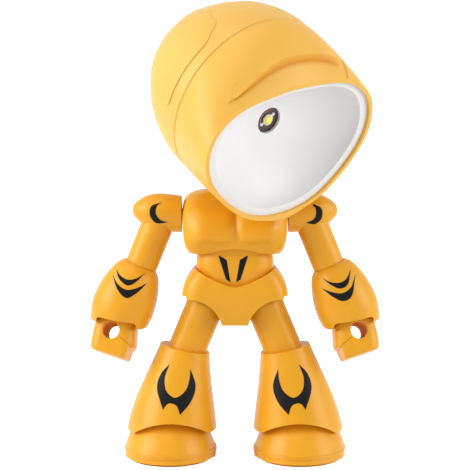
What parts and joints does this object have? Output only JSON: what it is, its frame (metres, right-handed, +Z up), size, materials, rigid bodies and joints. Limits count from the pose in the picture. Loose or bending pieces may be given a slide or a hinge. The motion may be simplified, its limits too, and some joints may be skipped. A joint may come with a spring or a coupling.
{
  "type": "desk lamp",
  "caption": "Robot-figure desk lamp on two feet: a helmet head holds a white reflector bowl with one LED, with jointed neck, waist, arms and legs.",
  "frame": {"origin": "centre of the bounding box at the level of the soles", "axes": "+Z up, +X to the right of someone facing the lamp, the chest faces -Y"},
  "size_m": [0.1484, 0.105, 0.2334],
  "materials": {
    "yellow_plastic": "satin",
    "white_plastic": "satin",
    "steel": "satin",
    "socket_steel": "satin",
    "board": "matte",
    "emitter": "matte",
    "aluminium": "satin",
    "cell_wrap": "matte",
    "rubber_pad": "matte"
  },
  "bodies": {
    "hips": {"abdomen": "yellow_plastic", "waist_pin": "steel", "pelvis_front": "yellow_plastic", "pelvis_back": "yellow_plastic", "hip_axle": "steel"},
    "chest": {"chest_front": "yellow_plastic", "chest_back": "yellow_plastic", "shoulder_pin_left": "steel", "shoulder_pin_right": "steel", "battery_cell": "cell_wrap", "charge_board": "board", "charging_socket": "socket_steel", "lean_pin": "steel"},
    "neck": {"neck_post": "yellow_plastic"},
    "swivel": {"neck_swivel": "yellow_plastic"},
    "head": {"helmet_front": "yellow_plastic", "helmet_back": "yellow_plastic", "side_panel_left": "yellow_plastic", "side_panel_right": "yellow_plastic", "reflector_bowl": "white_plastic", "led_board": "board", "led_emitter": "emitter", "heat_sink": "aluminium", "button_switch": "board", "nod_pin": "steel"},
    "button": {"power_button": "yellow_plastic"},
    "arm_left": {"pauldron_left": "yellow_plastic", "upper_arm_left": "yellow_plastic", "elbow_pin_left": "steel"},
    "forearm_left": {"gauntlet_left": "yellow_plastic", "wrist_pin_left": "steel"},
    "hand_left": {"hand_left": "yellow_plastic"},
    "leg_left": {"thigh_left": "yellow_plastic", "boot_left": "yellow_plastic"},
    "foot_left": {"foot_left": "yellow_plastic", "ankle_pin_left": "steel", "sole_plate_left": "yellow_plastic", "sole_pad_left": "rubber_pad"},
    "arm_right": {"pauldron_right": "yellow_plastic", "upper_arm_right": "yellow_plastic", "elbow_pin_right": "steel"},
    "forearm_right": {"gauntlet_right": "yellow_plastic", "wrist_pin_right": "steel"},
    "hand_right": {"hand_right": "yellow_plastic"},
    "leg_right": {"thigh_right": "yellow_plastic", "boot_right": "yellow_plastic"},
    "foot_right": {"foot_right": "yellow_plastic", "ankle_pin_right": "steel", "sole_plate_right": "yellow_plastic", "sole_pad_right": "rubber_pad"}
  },
  "joints": [
    {"name": "waist_turn", "type": "hinge", "parent": "hips", "child": "chest", "pos_m": [0, 0.0236, 0.1066], "axis": [0, 0, 1], "range_deg": [-25, 25]},
    {"name": "neck_lean", "type": "hinge", "parent": "chest", "child": "neck", "pos_m": [0, 0.0294, 0.1305], "axis": [1, 0, 0], "range_deg": [-17.5, 2]},
    {"name": "head_turn", "type": "hinge", "parent": "neck", "child": "swivel", "pos_m": [0, 0.0294, 0.1305], "axis": [0, -0.3007, 0.9537], "range_deg": [-76, 6]},
    {"name": "head_nod", "type": "hinge", "parent": "swivel", "child": "head", "pos_m": [0, 0.0205, 0.15873], "axis": [0.788, 0.5872, 0.1851], "range_deg": [-18, 3]},
    {"name": "power_press", "type": "slide", "parent": "head", "child": "button", "axis": [0.5947, -0.6481, -0.4757], "range_m": [0, 0.0015], "stiffness_N_per_m": 500, "springref_m": -0.0015},
    {"name": "shoulder_left", "type": "hinge", "parent": "chest", "child": "arm_left", "pos_m": [-0.0372, 0.0236, 0.1255], "axis": [-1, 0, 0], "range_deg": [-45, 50]},
    {"name": "forearm_left", "type": "hinge", "parent": "arm_left", "child": "forearm_left", "pos_m": [-0.04758, 0.0236, 0.09982], "axis": [-0.3746, 0, -0.9272], "range_deg": [-90, 90]},
    {"name": "wrist_left", "type": "hinge", "parent": "forearm_left", "child": "hand_left", "pos_m": [-0.06076, 0.0236, 0.06933], "axis": [-0.1736, 0, -0.9848], "range_deg": [-60, 60]},
    {"name": "hip_left", "type": "hinge", "parent": "hips", "child": "leg_left", "pos_m": [-0.0155, 0.0236, 0.078], "axis": [-1, 0, 0], "range_deg": [-25, 25]},
    {"name": "ankle_left", "type": "hinge", "parent": "leg_left", "child": "foot_left", "pos_m": [-0.0333, 0.0236, 0.009], "axis": [1, 0, 0], "range_deg": [-8, 8]},
    {"name": "shoulder_right", "type": "hinge", "parent": "chest", "child": "arm_right", "pos_m": [0.0372, 0.0236, 0.1255], "axis": [-1, 0, 0], "range_deg": [-45, 50]},
    {"name": "forearm_right", "type": "hinge", "parent": "arm_right", "child": "forearm_right", "pos_m": [0.04758, 0.0236, 0.09982], "axis": [0.3746, 0, -0.9272], "range_deg": [-90, 90]},
    {"name": "wrist_right", "type": "hinge", "parent": "forearm_right", "child": "hand_right", "pos_m": [0.06076, 0.0236, 0.06933], "axis": [0.1736, 0, -0.9848], "range_deg": [-60, 60]},
    {"name": "hip_right", "type": "hinge", "parent": "hips", "child": "leg_right", "pos_m": [0.0155, 0.0236, 0.078], "axis": [-1, 0, 0], "range_deg": [-25, 25]},
    {"name": "ankle_right", "type": "hinge", "parent": "leg_right", "child": "foot_right", "pos_m": [0.0333, 0.0236, 0.009], "axis": [1, 0, 0], "range_deg": [-8, 8]}
  ]
}
